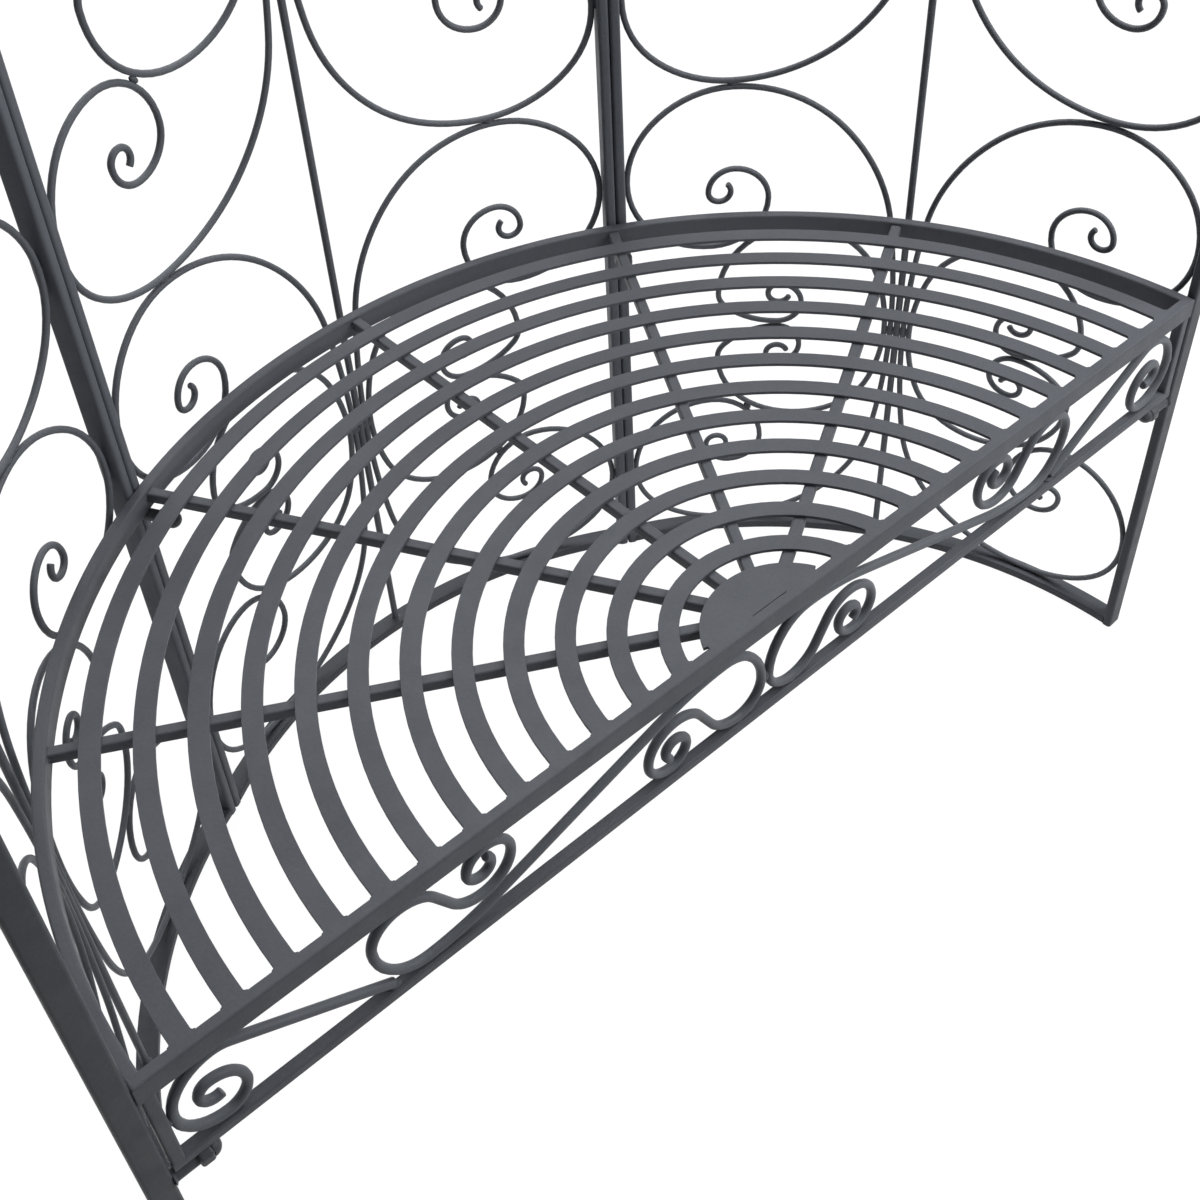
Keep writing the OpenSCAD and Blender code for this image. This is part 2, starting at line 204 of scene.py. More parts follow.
# The curved rails of the walls are the same flat tube laid flat and rolled, one on the ground and
# one at the top of each wall, welded between the two posts. They are rolled a little tighter than
# the seat ring, so the middle of a wall bows out.
rail_bite = 0.001
rail_steps = 36
same_place = 0.00001


def bent_tube(middle, facing, size, edge, runs):
    """A section with rounded corners, led along straight and bent runs, its ends closed.
    A bend is its angle, steps, centre and axis; the spin tool turns the other way round"""
    bpy.ops.object.select_all(action="DESELECT")
    bpy.ops.mesh.primitive_plane_add(size=1, location=middle, rotation=facing)
    tube = bpy.context.object
    tube.scale = (size[0], size[1], 1)
    bpy.ops.object.transform_apply(location=True, rotation=True, scale=True)
    bpy.ops.object.mode_set(mode="EDIT")
    bpy.ops.mesh.select_all(action="SELECT")
    bpy.ops.mesh.bevel(offset=edge, segments=edge_steps, affect="VERTICES")
    bpy.ops.mesh.select_all(action="SELECT")
    bpy.ops.mesh.delete(type="ONLY_FACE")
    bpy.ops.mesh.select_all(action="SELECT")
    for run in runs:
        if len(run) == 1:
            bpy.ops.mesh.extrude_region_move(TRANSFORM_OT_translate={"value": run[0]})
        else:
            angle, steps, centre, axis = run
            bpy.ops.mesh.spin(steps=steps, angle=-angle, center=centre, axis=axis)
    bpy.ops.mesh.select_all(action="SELECT")
    bpy.ops.mesh.fill_holes(sides=0)
    bpy.ops.mesh.remove_doubles(threshold=same_place)
    bpy.ops.mesh.normals_make_consistent(inside=False)
    bpy.ops.object.mode_set(mode="OBJECT")
    return tube


def on_circle(radius, angle, z):
    return Vector((radius * math.cos(angle), centre_y + radius * math.sin(angle), z))


wall_posts = {
    "right": ("right_post_front", "right_post_back"),
    "back": ("back_post_right", "back_post_left"),
    "left": ("left_post_back", "left_post_front"),
}
rod_low, rod_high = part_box("back_centre_rod")
post_half_a = (post_angles["back_post_left"] - post_angles["back_post_right"]) / 2
wall_apex = (rod_low.y + rod_high.y) / 2 - centre_y
wall_chord = post_r * math.sin(post_half_a)
wall_rise = wall_apex - post_r * math.cos(post_half_a)
wall_r = (wall_chord ** 2 + wall_rise ** 2) / (2 * wall_rise)
wall_half_a = math.asin(wall_chord / wall_r)
wall_middle = {wall: (post_angles[first] + post_angles[last]) / 2
               for wall, (first, last) in wall_posts.items()}
wall_centre = {wall: on_circle(wall_apex - wall_r, wall_middle[wall], 0) for wall in wall_posts}


def on_wall(wall, s, z):
    """A point of a wall's curve, at the distance s along it from the wall's middle"""
    angle = wall_middle[wall] + s / wall_r
    return wall_centre[wall] + Vector((wall_r * math.cos(angle), wall_r * math.sin(angle), z))


rail_coat = powder_coat(
    "rail_powder_coat", dark=(0.066, 0.071, 0.081), pale=(0.090, 0.097, 0.110),
    smooth=0.44, rough=0.58)
half_rail = wall_half_a * wall_r - post_tube_t / 2 + rail_bite
for wall in wall_posts:
    start = wall_middle[wall] - half_rail / wall_r
    for level in ("bottom", "top"):
        low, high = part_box(f"{wall}_{level}_rail")
        rail = bent_tube(
            on_wall(wall, -half_rail, (low.z + high.z) / 2), (math.pi / 2, 0, start),
            (post_tube_w, high.z - low.z), tube_edge,
            [(2 * half_rail / wall_r, rail_steps, wall_centre[wall], (0, 0, 1))])
        put_on(rail, f"{wall}_{level}_rail_tube", rail_coat, "frame_coat", f"{wall}_{level}_rail")


# A straight 7 mm rod stands in the middle of each wall. Every scroll leans on it. Both of its ends
# run out in a small weld on the rails.
rod_r = 0.0035
rod_sides = 20
rod_weld = ((0.0015, 1.12), (0.0010, 1.22), (0.0006, 1.25))  # height and growth of each step
same_level = 0.0001
# Painted light: the bars share the frame's anthracite coat; this paler copy stands in for light
# they lack.
scroll_coat = powder_coat(
    "scroll_coat_paler_for_painted_light", dark=(0.110, 0.118, 0.133), pale=(0.151, 0.162, 0.181),
    smooth=0.40, rough=0.54)
for wall in wall_posts:
    low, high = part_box(f"{wall}_centre_rod")
    weld_h = sum(step for step, _ in rod_weld)
    foot = on_wall(wall, 0, low.z + weld_h)
    bpy.ops.object.select_all(action="DESELECT")
    bpy.ops.mesh.primitive_circle_add(
        vertices=rod_sides, radius=rod_r, fill_type="NOTHING", location=foot)
    rod = bpy.context.object
    bpy.ops.object.transform_apply(location=True, rotation=True, scale=True)
    for up in (-1, 1):
        bpy.ops.object.mode_set(mode="EDIT")
        bpy.ops.mesh.select_mode(type="VERT")
        bpy.ops.mesh.select_all(action="DESELECT")
        mesh = bmesh.from_edit_mesh(rod.data)
        level = max(v.co.z for v in mesh.verts) if up > 0 else min(v.co.z for v in mesh.verts)
        for v in mesh.verts:
            v.select_set(abs(v.co.z - level) < same_level)
        mesh.select_flush_mode()
        bmesh.update_edit_mesh(rod.data)
        if up > 0:
            bpy.ops.mesh.extrude_region_move(
                TRANSFORM_OT_translate={"value": (0, 0, high.z - low.z - 2 * weld_h)})
        for step, growth in rod_weld:
            bpy.ops.mesh.extrude_region_move(TRANSFORM_OT_translate={"value": (0, 0, up * step)})
            bpy.ops.transform.resize(value=(growth, growth, 1), center_override=foot)
        bpy.ops.object.mode_set(mode="OBJECT")
    bpy.ops.object.mode_set(mode="EDIT")
    bpy.ops.mesh.select_all(action="SELECT")
    bpy.ops.mesh.fill_holes(sides=0)
    bpy.ops.mesh.normals_make_consistent(inside=False)
    bpy.ops.object.mode_set(mode="OBJECT")
    put_on(rod, f"{wall}_centre_rod_bar", scroll_coat, "scroll_coat", f"{wall}_centre_rod")


# The wall scrolls are round 6 mm bar, bent cold to a big open C with a coil at each end and rolled
# to the wall's curve. A smaller C sits inside each. Three rows stand on each other, on both sides
# of the rod, held by short welds where bars touch.
wall_rows = 3
bar_r = 0.003
bar_end_l = 0.0007
bar_end_share = 0.82
bar_gap = 0.0003
edge_gap = 0.0002
raw_back_s = 0.0083  # the pattern's back, away from the rod
raw_coil_z = 0.0042  # its innermost coil, away from the middle of the row
turn_step = 9
chord = 0.010
large_bends = ((0.850, 9), (0.183, 36), (0.150, 45), (0.109, 45), (0.084, 45),
               (0.085, 90), (0.054, 90), (0.034, 90), (0.025, 90), (0.011, 228))
small_bends = ((0.194, 20), (0.084, 70), (0.080, 90), (0.021, 45), (0.077, 45),
               (0.024, 90), (0.023, 90), (0.011, 250))


def bent_line(place, heading, bends):
    """Points along a bar bent flat, from the radius of each bend and its turn to the right.
    With the radius 0 the second number is the length of a straight run"""
    points = []
    x, y = place
    heading = math.radians(heading)
    for radius, turn in bends:
        if radius == 0:
            steps = math.ceil(turn / chord)
            for _ in range(steps):
                x += turn / steps * math.cos(heading)
                y += turn / steps * math.sin(heading)
                points.append((x, y))
            continue
        side = math.copysign(radius, turn)
        arc_x, arc_y = x + side * math.sin(heading), y - side * math.cos(heading)
        sweep = math.radians(turn)
        steps = math.ceil(max(abs(turn) / turn_step, radius * abs(sweep) / chord))
        for k in range(1, steps + 1):
            way = heading - sweep * k / steps
            x, y = arc_x - side * math.sin(way), arc_y + side * math.cos(way)
            points.append((x, y))
        heading -= sweep
    return points


def round_bars(lines, radius):
    """Round bars along lines of points, their cut ends slightly broken"""
    path = bpy.data.curves.new("bar_path", "CURVE")
    path.dimensions = "3D"
    path.bevel_depth = radius
    path.bevel_resolution = 3
    path.use_fill_caps = True
    for line in lines:
        first = line[0] + (line[1] - line[0]).normalized() * bar_end_l
        last = line[-1] + (line[-2] - line[-1]).normalized() * bar_end_l
        points = [line[0], first, *line[1:-1], last, line[-1]]
        spline = path.splines.new("POLY")
        spline.points.add(len(points) - 1)
        for point, place in zip(spline.points, points):
            point.co = (*place, 1)
        spline.points[0].radius = spline.points[-1].radius = bar_end_share
    bars = bpy.data.objects.new("bars", path)
    bpy.context.collection.objects.link(bars)
    bpy.ops.object.select_all(action="DESELECT")
    bars.select_set(True)
    bpy.context.view_layer.objects.active = bars
    bpy.ops.object.convert(target="MESH")
    return bpy.context.object


def both_halves(half, s):
    """A whole C from its upper half, which starts at distance s from the rod"""
    return [(x, -y) for x, y in reversed(half)] + [(s, 0)] + half


tier_h = (post_top - 2 * post_tube_t) / wall_rows
large_raw = bent_line((raw_back_s, 0), 90, large_bends)
small_raw = bent_line((2 * raw_back_s, 0), 90, small_bends)
raw_s, raw_z = max(s for s, _ in large_raw), max(z for _, z in large_raw)
room_s = wall_half_a * wall_r - post_tube_t / 2 - bar_r - 2 * edge_gap
room_z = tier_h / 2 - bar_r - edge_gap
coil_z = bar_r + edge_gap
large_s = bar_r + rod_r + bar_gap
small_s = large_s + 2 * bar_r + bar_gap


def fitted(raw, raw_start, start):
    """The bent pattern, fitted to the room between the rod, the post and the next row"""
    grow_s = (room_s - start) / (raw_s - raw_start)
    grow_z = (room_z - coil_z) / (raw_z - raw_coil_z)
    return [(start + (s - raw_start) * grow_s, coil_z + (z - raw_coil_z) * grow_z) for s, z in raw]


large_half = fitted(large_raw, raw_back_s, large_s)
small_half = fitted(small_raw, 2 * raw_back_s, small_s)
scroll_sides = {
    "right": (("front", -1), ("back", 1)),
    "back": (("right", -1), ("left", 1)),
    "left": (("back", -1), ("front", 1)),
}
wall_lines = {wall: [] for wall in wall_posts}
for wall, sides in scroll_sides.items():
    for place, side in sides:
        for size, outline in (("large", both_halves(large_half, large_s)),
                              ("small", both_halves(small_half, small_s))):
            lines = []
            for row in range(wall_rows):
                mid_z = post_tube_t + (row + 0.5) * tier_h
                lines.append([on_wall(wall, side * s, mid_z + z) for s, z in outline])
            wall_lines[wall] += lines
            name = f"{wall}_{size}_scrolls_{place}"
            put_on(round_bars(lines, bar_r), name + "_bars", scroll_coat, "scroll_coat", name)


# Short welds hold bars where they touch each other, the rod, the rails or the posts, and bridge the
# few millimetres between the loops of a large and a small scroll. Each is a small smooth bump of
# filler run along the bar, left as it came from the torch and coated over.
weld_l = 0.0050
weld_w = 0.0028
weld_coat = powder_coat(
    "weld_powder_coat", dark=(0.094, 0.100, 0.113), pale=(0.127, 0.136, 0.152),
    smooth=0.42, rough=0.56)

bpy.ops.object.select_all(action="DESELECT")
bpy.ops.mesh.primitive_uv_sphere_add(segments=10, ring_count=6, radius=1)
weld_bump = bpy.context.object
bpy.ops.object.mode_set(mode="EDIT")
bpy.ops.mesh.select_all(action="SELECT")
bpy.ops.transform.resize(value=(weld_w, weld_w, weld_l))
bpy.ops.object.mode_set(mode="OBJECT")


def touching(line, other, reach):
    """Where two bars come within reach of each other: middle and direction of each place"""
    found, best = [], None
    for i, point in enumerate(line):
        near = min(other, key=lambda p: (p - point).length_squared)
        gap = (near - point).length
        if gap < reach:
            if best is None or gap < best[0]:
                way = line[min(i + 1, len(line) - 1)] - line[max(i - 1, 0)]
                best = (gap, (near + point) / 2, way)
        elif best:
            found.append(best[1:])
            best = None
    if best:
        found.append(best[1:])
    return found


def row_of_welds(name, spots, coat, slot, share=1.0):
    """One copy of the bump at each spot, turned along the bar, as one piece"""
    copies = []
    for place, way in spots:
        bump = weld_bump.copy()
        bump.data = weld_bump.data.copy()
        bpy.context.collection.objects.link(bump)
        turn = way.to_track_quat("Z", "Y").to_matrix().to_4x4()
        bump.data.transform(Matrix.Translation(place) @ turn @ Matrix.Scale(share, 4))
        copies.append(bump)
    bpy.ops.object.select_all(action="DESELECT")
    for bump in copies:
        bump.select_set(True)
    bpy.context.view_layer.objects.active = copies[0]
    bpy.ops.object.join()
    put_on(bpy.context.object, name, coat, slot)


loop_reach = 0.0045
back_reach = 3 * bar_r
rail_reach = 3 * bar_r
for wall, lines in wall_lines.items():
    spots = []
    for i, line in enumerate(lines):
        for other in lines[i + 1:]:
            spots += touching(line, other, 2 * bar_r + loop_reach)
        back = line[len(line) // 2]
        rod_point = on_wall(wall, 0, back.z)
        if (back - rod_point).length < back_reach:
            spots.append(((back + rod_point) / 2, Vector((0, 0, 1))))
            outer = max(line, key=lambda p: (p - on_wall(wall, 0, p.z)).length)
            away = (outer - on_wall(wall, 0, outer.z)).normalized()
            spots.append((outer + away * bar_r, Vector((0, 0, 1))))
            for end in (min, max):
                tip = end(line, key=lambda p: p.z)
                if tip.z < rail_reach + post_tube_t or tip.z > post_top - post_tube_t - rail_reach:
                    level = post_tube_t if tip.z < post_top / 2 else post_top - post_tube_t
                    spots.append((Vector((tip.x, tip.y, level)),
                                  Vector((-(tip.y - centre_y), tip.x, 0))))
    row_of_welds(f"{wall}_wall_welds", spots, weld_coat, "scroll_coat")


# The seat ring is a 10 x 20 flat bar rolled on edge to a half circle. Its ends are welded over
# those of the front tube, a flat tube of the same section, and are ground flush with it.
bench_coat = powder_coat(
    "bench_powder_coat", dark=(0.083, 0.088, 0.101), pale=(0.111, 0.118, 0.134),
    smooth=0.44, rough=0.58)
ring_t = tube_high.y - tube_low.y
ring_h = ring_high.z - ring_low.z
ring_in = ring_r - ring_t
tube_front, tube_back = tube_low.y, tube_high.y
ring_mid_z = seat_top - ring_h / 2
ring_steps = 150
end_edge = 0.0012
weld_rise = 0.00005
same_plane = 0.00005


def cut_at_tube(piece, y):
    """Takes away what lies in front of y, and closes the cut"""
    bpy.ops.object.mode_set(mode="EDIT")
    bpy.ops.mesh.select_all(action="SELECT")
    bpy.ops.mesh.bisect(plane_co=(0, y, 0), plane_no=(0, 1, 0), use_fill=True, clear_inner=True,
                        threshold=same_place)
    bpy.ops.mesh.select_all(action="SELECT")
    bpy.ops.mesh.normals_make_consistent(inside=False)
    bpy.ops.object.mode_set(mode="OBJECT")


def pick_faces(piece, wanted):
    """Leaves edit mode on, with just the wanted faces selected"""
    bpy.ops.object.mode_set(mode="EDIT")
    bpy.ops.mesh.select_mode(type="FACE")
    bpy.ops.mesh.select_all(action="DESELECT")
    mesh = bmesh.from_edit_mesh(piece.data)
    for face in mesh.faces:
        face.select_set(wanted(face))
    bmesh.update_edit_mesh(piece.data)


def lies_at(face, y):
    return all(abs(v.co.y - y) < same_plane for v in face.verts)


# Rings start and end further forward than they should, and are then cut off straight
early = math.asin((tube_front - centre_y) / ring_r) / 2
ring = bent_tube(
    on_circle(ring_r - ring_t / 2, early, ring_mid_z), (math.pi / 2, 0, early), (ring_t, ring_h),
    tube_edge, [(math.pi - 2 * early, ring_steps, (0, centre_y, 0), (0, 0, 1))])
ring_front = tube_front + weld_rise
cut_at_tube(ring, ring_front)
pick_faces(ring, lambda f: lies_at(f, ring_front))
bpy.ops.mesh.bevel(offset=end_edge, segments=edge_steps, affect="EDGES")
bpy.ops.object.mode_set(mode="OBJECT")
put_on(ring, "seat_ring_band", bench_coat, "bench_coat", "seat_ring")
ring_end_x = math.sqrt(ring_r ** 2 - (tube_back - centre_y) ** 2)
front_tube = straight_tube(
    (0, front_y, ring_mid_z + weld_rise), (2 * (ring_end_x - tube_edge), ring_t, ring_h), 0,
    tube_edge)
put_on(front_tube, "bench_front_tube", bench_coat, "bench_coat", "front_tube")


# Twelve slats of 16 x 3 flat bar are rolled edgewise to half circles inside the ring. Their ends
# butt on the front tube, level with its top, and each is filled out with a small weld that is
# ground flush.
slat_count = 12
slat_w = 0.016
slat_edge = 0.0004
fewest_steps = 24
more_steps = 6
slat_low, slat_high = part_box("slat_1")
slat_t = slat_high.z - slat_low.z
slat_mid_z = (slat_low.z + slat_high.z) / 2
fillet = 0.0022
fillet_steps = (0.0014, 0.0007, 0.0003, 0)
slat_radii = []
for number in range(1, slat_count + 1):
    low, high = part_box(f"slat_{number}")
    slat_r = high.y - centre_y - slat_w / 2
    slat_radii.append(slat_r)
    steps = fewest_steps + more_steps * (slat_count + 1 - number)
    over = math.asin((tube_back - centre_y) / slat_r) / 2
    slat = bent_tube(
        on_circle(slat_r, over, slat_mid_z), (math.pi / 2, 0, over), (slat_w, slat_t), slat_edge,
        [(math.pi - 2 * over, steps, (0, centre_y, 0), (0, 0, 1))])
    cut_at_tube(slat, tube_back + fillet)
    lean = (tube_back - centre_y) / slat_r
    for side in (-1, 1):
        pick_faces(slat, lambda f: (lies_at(f, tube_back + fillet)
                                    and f.calc_center_median().x * side > 0))
        before, width = fillet, slat_w
        for depth in fillet_steps:
            step = before - depth
            wider = slat_w + 2 * (fillet - math.sqrt(fillet ** 2 - (fillet - depth) ** 2))
            bpy.ops.mesh.extrude_region_move(
                TRANSFORM_OT_translate={"value": (side * lean * step, -step, 0)})
            mesh = bmesh.from_edit_mesh(slat.data)
            middle = sum((f.calc_center_median() for f in mesh.faces if f.select), Vector())
            bpy.ops.transform.resize(value=(wider / width, 1, 1), center_override=middle)
            before, width = depth, wider
        bpy.ops.mesh.extrude_region_move(TRANSFORM_OT_translate={"value": (0, -tube_edge, 0)})
        bpy.ops.object.mode_set(mode="OBJECT")
    put_on(slat, f"bench_slat_{number}", bench_coat, "bench_coat", f"slat_{number}")


# The hub plate is a half disc of 3 mm sheet that closes the middle of the seat. It is welded flush
# to the front tube, short of its two corners, and in the middle a hairline stays open.
hub_low, hub_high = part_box("hub_plate")
hub_r = hub_high.y - centre_y
gap_left, gap_right = -0.012, 0.025
hairline = 0.0016
corner_size = (0.0042, 0.0024)
corner_turn = 0.25
cutter_h = 0.01
rim_steps = 2
bpy.ops.object.select_all(action="DESELECT")
bpy.ops.mesh.primitive_cylinder_add(
    vertices=128, radius=hub_r, depth=hub_high.z - hub_low.z,
    location=(0, centre_y, (hub_low.z + hub_high.z) / 2))
hub = bpy.context.object
bpy.ops.object.transform_apply(location=True, rotation=True, scale=True)


def lies_level(edge):
    return abs(edge.verts[0].co.z - edge.verts[1].co.z) < same_level


round_edges(hub, lies_level, slat_edge, rim_steps)
cut_at_tube(hub, tube_back)
hub_end_x = math.sqrt(hub_r ** 2 - (tube_back - centre_y) ** 2)
bpy.ops.object.mode_set(mode="EDIT")
for x in (corner_size[0] - hub_end_x, gap_left, gap_right, hub_end_x - corner_size[0]):
    bpy.ops.mesh.select_all(action="SELECT")
    bpy.ops.mesh.bisect(plane_co=(x, 0, 0), plane_no=(1, 0, 0), threshold=same_place)
bpy.ops.object.mode_set(mode="OBJECT")
for left, right, depth in ((corner_size[0] - hub_end_x, gap_left, tube_edge),
                           (gap_left, gap_right, tube_edge - hairline),
                           (gap_right, hub_end_x - corner_size[0], tube_edge)):
    pick_faces(hub, lambda f: lies_at(f, tube_back) and left < f.calc_center_median().x < right)
    bpy.ops.mesh.extrude_region_move(TRANSFORM_OT_translate={"value": (0, -depth, 0)})
    bpy.ops.object.mode_set(mode="OBJECT")
for side in (-1, 1):
    bpy.ops.object.select_all(action="DESELECT")
    bpy.ops.mesh.primitive_cube_add(
        size=1, scale=(2 * corner_size[0], 2 * corner_size[1], cutter_h),
        rotation=(0, 0, side * corner_turn),
        location=(side * hub_end_x, tube_back, (hub_low.z + hub_high.z) / 2))
    cutter = bpy.context.object
    bpy.ops.object.select_all(action="DESELECT")
    hub.select_set(True)
    bpy.context.view_layer.objects.active = hub
    corner = hub.modifiers.new("corner", "BOOLEAN")
    corner.operation = "DIFFERENCE"
    corner.object = cutter
    bpy.ops.object.modifier_apply(modifier=corner.name)
    bpy.data.objects.remove(cutter)
put_on(hub, "bench_hub_plate", bench_coat, "bench_coat", "hub_plate")


# Five square bars run under the slats from the hub plate out to the ring, like the ribs of a fan,
# and every slat is welded on where it crosses them.
spoke_count = 5
spoke_step = 30
spoke_w = 0.010
spoke_in = 0.026
spoke_bite = 0.001
spoke_weld_share = 0.4
spoke_z = slat_low.z - spoke_w / 2
spoke_angles = {f"spoke_{k}": math.radians(spoke_step * k) for k in range(1, spoke_count + 1)}
spoke_seams = []
for name, angle in spoke_angles.items():
    way = Vector((math.cos(angle), math.sin(angle), 0))
    inward = Vector((0, front_y - centre_y, 0)).dot(way)
    reach = -inward + math.sqrt(
        inward ** 2 + (ring_in + spoke_bite) ** 2 - (front_y - centre_y) ** 2)
    middle = Vector((0, front_y, spoke_z)) + way * (spoke_in + reach) / 2
    spoke = straight_tube(middle, (reach - spoke_in, spoke_w, spoke_w), angle, tube_edge)
    put_on(spoke, f"bench_{name}", bench_coat, "bench_coat", name)
    across = Vector((-way.y, way.x, 0))
    for radius in slat_radii:
        out = -inward + math.sqrt(inward ** 2 + radius ** 2 - (front_y - centre_y) ** 2)
        for side in (-1, 1):
            spot = Vector((0, front_y, slat_low.z)) + way * out + across * side * spoke_w / 2
            spoke_seams.append((spot, way))
    tip = Vector((0, front_y, spoke_z)) + way * (reach - spoke_bite)
    for side in (-1, 1):
        spoke_seams.append((tip + across * side * spoke_w / 2, Vector((0, 0, 1))))
row_of_welds("bench_spoke_welds", spoke_seams, bench_coat, "bench_coat", spoke_weld_share)


# The apron hangs under the front tube: a square rail along the bottom and an upright at each end,
# both 10 mm bar with rounded edges.
rail_low, rail_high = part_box("apron_rail")
rail = straight_tube((rail_low + rail_high) / 2, rail_high - rail_low, 0, tube_edge)
put_on(rail, "apron_bottom_rail", bench_coat, "bench_coat", "apron_rail")
upright_bite = 0.0015
upright_in_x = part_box("apron_upright_right")[0].x
for side in ("left", "right"):
    low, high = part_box(f"apron_upright_{side}")
    low.z -= upright_bite
    high.z += upright_bite
    upright = straight_tube((low + high) / 2, high - low, 0, tube_edge)
    put_on(upright, f"apron_end_upright_{side}", bench_coat, "bench_coat", f"apron_upright_{side}")


# Four scrolls of a thicker round bar, 8 mm, fill the apron, two long ones that meet in the middle
# and one at each end that coils by the upright and runs down to the rail.
apron_bar_r = 0.004
bar_reach = 0.0012
apron_weld_share = 1.2
middle_heading = 18
end_heading = 151
middle_bends = ((0, 0.090), (0.199, 18), (0.037, 45), (0.055, 45), (0.026, 90), (0.034, 59),
                (0, 0.025), (0.030, -59), (0.029, -90), (0.022, -90), (0.018, -90), (0.012, -90),
                (0.010, -150))
end_bends = ((0, 0.148), (0.030, -29), (0.039, -90), (0.036, -90), (0.020, -90), (0.026, -90),
             (0.010, -90), (0.012, -113))
apron_scroll_boxes = {name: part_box(name) for name in (
    "apron_middle_scroll_left", "apron_middle_scroll_right",
    "apron_end_scroll_left", "apron_end_scroll_right")}
middle_raw = bent_line((0, 0), middle_heading, middle_bends)
middle_raw = [(-x, -z) for x, z in reversed(middle_raw)] + [(0, 0)] + middle_raw
end_raw = [(0, 0)] + bent_line((0, 0), end_heading, end_bends)
apron_lines = []
for name, (low, high) in apron_scroll_boxes.items():
    raw = middle_raw if "middle" in name else end_raw
    side = 1 if "left" in name else -1
    x_low, x_high = min(x for x, _ in raw), max(x for x, _ in raw)
    z_low, z_high = min(z for _, z in raw), max(z for _, z in raw)
    grow_x = (high.x - low.x - 2 * apron_bar_r) / (x_high - x_low)
    grow_z = (high.z - low.z - 2 * apron_bar_r) / (z_high - z_low)
    first_x = low.x + apron_bar_r if side > 0 else high.x - apron_bar_r
    line = [Vector((first_x + side * (x - x_low) * grow_x, front_y,
                    low.z + apron_bar_r + (z - z_low) * grow_z)) for x, z in raw]
    apron_lines.append(line)
    put_on(round_bars([line], apron_bar_r), name + "_bar", scroll_coat, "scroll_coat", name)
apron_spots = []
for i, line in enumerate(apron_lines):
    for other in apron_lines[i + 1:]:
        apron_spots += touching(line, other, 2 * apron_bar_r + bar_reach)
    for edge, level in ((min, rail_high.z), (max, ring_low.z)):
        tip = edge(line, key=lambda p: p.z)
        apron_spots.append((Vector((tip.x, front_y, level)), Vector((1, 0, 0))))
    outer = max(line, key=lambda p: abs(p.x))
    out_x = abs(outer.x) + apron_bar_r
    if out_x > upright_in_x - bar_reach:
        apron_spots.append((Vector((math.copysign(out_x, outer.x), front_y, outer.z)),
                            Vector((0, 0, 1))))
row_of_welds("apron_scroll_welds", apron_spots, weld_coat, "scroll_coat", apron_weld_share)


# Four shouldered bolts are screwed into the posts from the inside and carry the bench. Their heads
# are hexagons with a dome, all of their edges rounded and thick with powder.
bolt_coat = powder_coat(
    "bolt_coat", dark=(0.065, 0.070, 0.079), pale=(0.090, 0.096, 0.108), smooth=0.34, rough=0.48)
head_af = 0.0165
head_h = 0.011
head_rim = 0.0024
head_rim_steps = 4
dome_inset = 0.0005
dome_angles = (0, 12, 24, 36, 48, 60, 72, 82)
shoulder_r = 0.0055
shoulder_l = 0.0187
shoulder_sides = 28
root_r = 0.0075
shank_r = 0.004
shank_l = 0.012
shank_sides = 20
post_gap = 0.0003
bench_gap = 0.0002


def hexagon(across, height, z, rim, steps):
    """A hexagon along Z with all of its edges rounded over"""
    bpy.ops.object.select_all(action="DESELECT")
    bpy.ops.mesh.primitive_cylinder_add(
        vertices=6, radius=across / 2 / math.cos(math.pi / 6), depth=height,
        location=(0, 0, z + height / 2), rotation=(0, 0, math.pi / 6))
    piece = bpy.context.object
    bpy.ops.object.transform_apply(location=True, rotation=True, scale=True)
    bpy.ops.object.mode_set(mode="EDIT")
    bpy.ops.mesh.select_mode(type="EDGE")
    bpy.ops.mesh.select_all(action="SELECT")
    bpy.ops.mesh.bevel(offset=rim, segments=steps, affect="EDGES")
    bpy.ops.object.mode_set(mode="OBJECT")
    return piece


def turned(radius_steps, sides):
    """A turned piece along Z: rings of the given radius at the given height"""
    bpy.ops.object.select_all(action="DESELECT")
    first_z, first_radius = radius_steps[0]
    bpy.ops.mesh.primitive_circle_add(
        vertices=sides, radius=first_radius, fill_type="NOTHING", location=(0, 0, first_z))
    piece = bpy.context.object
    bpy.ops.object.transform_apply(location=True, rotation=True, scale=True)
    bpy.ops.object.mode_set(mode="EDIT")
    z, radius = first_z, first_radius
    for next_z, next_radius in radius_steps[1:]:
        bpy.ops.mesh.extrude_region_move(TRANSFORM_OT_translate={"value": (0, 0, next_z - z)})
        grow = next_radius / radius
        bpy.ops.transform.resize(value=(grow, grow, 1), center_override=(0, 0, next_z))
        z, radius = next_z, next_radius
    bpy.ops.mesh.select_all(action="SELECT")
    bpy.ops.mesh.fill_holes(sides=0)
    bpy.ops.mesh.normals_make_consistent(inside=False)
    bpy.ops.object.mode_set(mode="OBJECT")
    return piece


def joined(pieces):
    bpy.ops.object.select_all(action="DESELECT")
    for piece in pieces:
        piece.select_set(True)
    bpy.context.view_layer.objects.active = pieces[0]
    bpy.ops.object.join()
    return bpy.context.object


# Heights and radii along the bolt. The shoulder flares out to its root, and the tip is broken.
dome_r = head_af / 2 - dome_inset
dome = [(head_h + dome_r * math.sin(math.radians(a)), dome_r * math.cos(math.radians(a)))
        for a in dome_angles]
shoulder = [(-post_gap, root_r), (0.0004, root_r - 0.0007), (0.0014, shoulder_r + 0.0002),
            (0.0030, shoulder_r), (shoulder_l, shoulder_r)]
shank = [(-shank_l, shank_r - 0.0008), (-shank_l + 0.001, shank_r), (0, shank_r)]
bolt = joined([
    turned(shoulder, shoulder_sides),
    turned(shank, shank_sides),
    hexagon(head_af, head_h, shoulder_l, head_rim, head_rim_steps),
    turned([(shoulder_l + z, r) for z, r in dome], shoulder_sides)])

